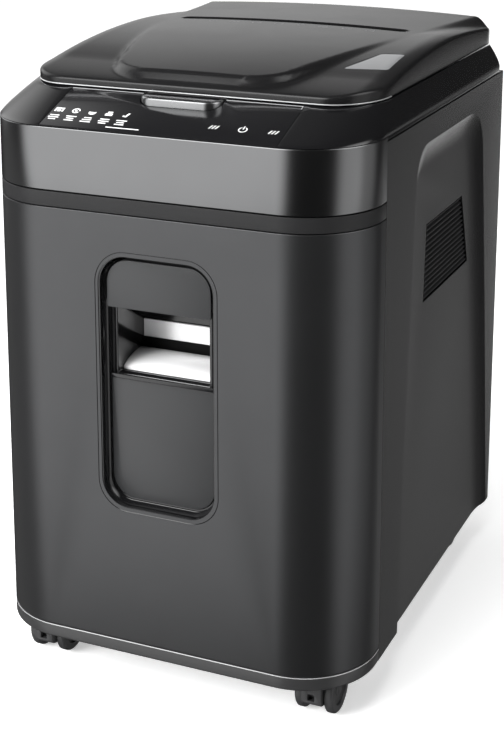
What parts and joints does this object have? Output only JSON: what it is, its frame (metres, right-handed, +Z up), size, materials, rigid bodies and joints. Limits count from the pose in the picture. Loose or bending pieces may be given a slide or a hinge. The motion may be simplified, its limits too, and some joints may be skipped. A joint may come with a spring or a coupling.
{
  "type": "paper shredder",
  "caption": "Auto-feed paper shredder: hinged feed lid with manual slot, sloped touch console, pull-out bin with finger pull, scooped vented sides, swivel casters.",
  "frame": {"origin": "on the floor, under the middle of the cabinet plan", "axes": "+Z up, -Y out of the front of the bin, +X to the right seen from the front"},
  "size_m": [0.35, 0.4376, 0.5596],
  "materials": {
    "case_black": "fine-grain moulded",
    "panel_satin": "satin metallic paint",
    "gloss_black": "polished",
    "silver_trim": "satin plated",
    "smoked_panel": "smoked",
    "frosted_window": "frosted",
    "inner_plastic": "moulded",
    "sheet_steel": "zinc plated",
    "cutter_steel": "ground",
    "gear_nylon": "moulded nylon",
    "roller_rubber": "ribbed",
    "circuit_board": "solder mask",
    "caster_plastic": "moulded",
    "wheel_rubber": "smooth"
  },
  "bodies": {
    "cabinet": {"base_tray": "case_black", "side_panel_left": "case_black", "side_panel_right": "case_black", "vent_grille_left": "case_black", "vent_grille_right": "case_black", "rear_cover": "case_black", "rear_screw_1": "sheet_steel", "rear_screw_2": "sheet_steel", "front_band": "panel_satin", "front_trim_strip": "case_black", "upper_housing": "gloss_black", "control_overlay": "gloss_black", "control_board": "circuit_board", "hinge_pin_left": "sheet_steel", "hinge_pin_right": "sheet_steel", "mechanism_deck": "sheet_steel", "cutter_plate_left": "sheet_steel", "cutter_plate_right": "sheet_steel", "idler_pin": "sheet_steel", "motor_can": "sheet_steel", "paper_tray": "inner_plastic", "power_board": "circuit_board", "power_inlet": "inner_plastic", "switch_body": "inner_plastic"},
    "lid": {"lid_shell": "gloss_black", "lid_window": "frosted_window", "lid_liner": "inner_plastic"},
    "pressure_plate": {"pressure_plate": "inner_plastic"},
    "latch": {"latch_tab": "silver_trim"},
    "bin": {"bin_front_panel": "panel_satin", "bin_bezel": "gloss_black", "bin_upper_plate": "smoked_panel", "bin_pull_pocket": "gloss_black", "bin_pull_insert": "silver_trim", "bin_window": "smoked_panel", "bin_bucket": "inner_plastic"},
    "cutter_front": {"cutter_front": "cutter_steel", "cutter_gear_front": "gear_nylon"},
    "cutter_rear": {"cutter_rear": "cutter_steel", "cutter_gear_rear": "gear_nylon"},
    "feed_front": {"feed_roller_front": "roller_rubber", "feed_gear_front": "gear_nylon"},
    "feed_rear": {"feed_roller_rear": "roller_rubber", "feed_gear_rear": "gear_nylon"},
    "idler": {"idler_gear": "gear_nylon"},
    "motor_rotor": {"motor_shaft": "sheet_steel"},
    "rocker": {"switch_rocker": "gloss_black"},
    "paper_guide": {"paper_guide": "inner_plastic"},
    "caster_front_left": {"caster_front_left_hood": "caster_plastic"},
    "wheel_front_left": {"caster_front_left_wheel_a": "wheel_rubber", "caster_front_left_wheel_b": "wheel_rubber"},
    "caster_front_right": {"caster_front_right_hood": "caster_plastic"},
    "wheel_front_right": {"caster_front_right_wheel_a": "wheel_rubber", "caster_front_right_wheel_b": "wheel_rubber"},
    "caster_rear_left": {"caster_rear_left_hood": "caster_plastic"},
    "wheel_rear_left": {"caster_rear_left_wheel_a": "wheel_rubber", "caster_rear_left_wheel_b": "wheel_rubber"},
    "caster_rear_right": {"caster_rear_right_hood": "caster_plastic"},
    "wheel_rear_right": {"caster_rear_right_wheel_a": "wheel_rubber", "caster_rear_right_wheel_b": "wheel_rubber"}
  },
  "joints": [
    {"name": "lid_hinge", "type": "hinge", "parent": "cabinet", "child": "lid", "pos_m": [0, 0.206, 0.536], "axis": [-1, 0, 0], "range_deg": [0, 70]},
    {"name": "pressure_plate_travel", "type": "slide", "parent": "lid", "child": "pressure_plate", "axis": [0, 0, 1], "range_m": [0, 0.012], "stiffness_N_per_m": 150, "springref_m": -0.01},
    {"name": "latch_press", "type": "slide", "parent": "cabinet", "child": "latch", "axis": [0, 0, -1], "range_m": [0, 0.003], "stiffness_N_per_m": 400, "springref_m": -0.002},
    {"name": "bin_slide", "type": "slide", "parent": "cabinet", "child": "bin", "axis": [0, -1, 0], "range_m": [0, 0.36]},
    {"name": "paper_guide_slide", "type": "slide", "parent": "cabinet", "child": "paper_guide", "axis": [-1, 0, 0], "range_m": [0, 0.04]},
    {"name": "cutter_front_spin", "type": "hinge", "parent": "cabinet", "child": "cutter_front", "pos_m": [0, 0.061, 0.478], "axis": [1, 0, 0], "continuous": true},
    {"name": "cutter_rear_spin", "type": "hinge", "parent": "cabinet", "child": "cutter_rear", "pos_m": [0, 0.095, 0.478], "axis": [1, 0, 0], "continuous": true},
    {"name": "idler_spin", "type": "hinge", "parent": "cabinet", "child": "idler", "pos_m": [0, 0.023, 0.478], "axis": [1, 0, 0], "continuous": true},
    {"name": "motor_spin", "type": "hinge", "parent": "cabinet", "child": "motor_rotor", "pos_m": [0, -0.008, 0.478], "axis": [1, 0, 0], "continuous": true},
    {"name": "feed_front_spin", "type": "hinge", "parent": "cabinet", "child": "feed_front", "pos_m": [0, 0.053, 0.50898], "axis": [1, 0, 0], "continuous": true},
    {"name": "feed_rear_spin", "type": "hinge", "parent": "cabinet", "child": "feed_rear", "pos_m": [0, 0.103, 0.50898], "axis": [1, 0, 0], "continuous": true},
    {"name": "power_rocker_tilt", "type": "hinge", "parent": "cabinet", "child": "rocker", "pos_m": [0, 0.206, 0.09], "axis": [-1, 0, 0], "range_deg": [0, 12]},
    {"name": "swivel_front_left", "type": "hinge", "parent": "cabinet", "child": "caster_front_left", "pos_m": [-0.132, -0.174, 0.046], "axis": [0, 0, 1], "continuous": true},
    {"name": "roll_front_left", "type": "hinge", "parent": "caster_front_left", "child": "wheel_front_left", "pos_m": [-0.132, -0.168, 0.022], "axis": [1, 0, 0], "continuous": true},
    {"name": "swivel_front_right", "type": "hinge", "parent": "cabinet", "child": "caster_front_right", "pos_m": [0.132, -0.174, 0.046], "axis": [0, 0, 1], "continuous": true},
    {"name": "roll_front_right", "type": "hinge", "parent": "caster_front_right", "child": "wheel_front_right", "pos_m": [0.132, -0.168, 0.022], "axis": [1, 0, 0], "continuous": true},
    {"name": "swivel_rear_left", "type": "hinge", "parent": "cabinet", "child": "caster_rear_left", "pos_m": [-0.132, 0.168, 0.046], "axis": [0, 0, 1], "continuous": true},
    {"name": "roll_rear_left", "type": "hinge", "parent": "caster_rear_left", "child": "wheel_rear_left", "pos_m": [-0.132, 0.174, 0.022], "axis": [1, 0, 0], "continuous": true},
    {"name": "swivel_rear_right", "type": "hinge", "parent": "cabinet", "child": "caster_rear_right", "pos_m": [0.132, 0.168, 0.046], "axis": [0, 0, 1], "continuous": true},
    {"name": "roll_rear_right", "type": "hinge", "parent": "caster_rear_right", "child": "wheel_rear_right", "pos_m": [0.132, 0.174, 0.022], "axis": [1, 0, 0], "continuous": true}
  ],
  "couplings": [
    {"joint": "cutter_rear_spin", "follows": "cutter_front_spin", "ratio": -1},
    {"joint": "idler_spin", "follows": "cutter_front_spin", "ratio": -0.80952},
    {"joint": "motor_spin", "follows": "cutter_front_spin", "ratio": 1.7},
    {"joint": "feed_front_spin", "follows": "cutter_front_spin", "ratio": -1.1333},
    {"joint": "feed_rear_spin", "follows": "cutter_front_spin", "ratio": 1.1333}
  ]
}
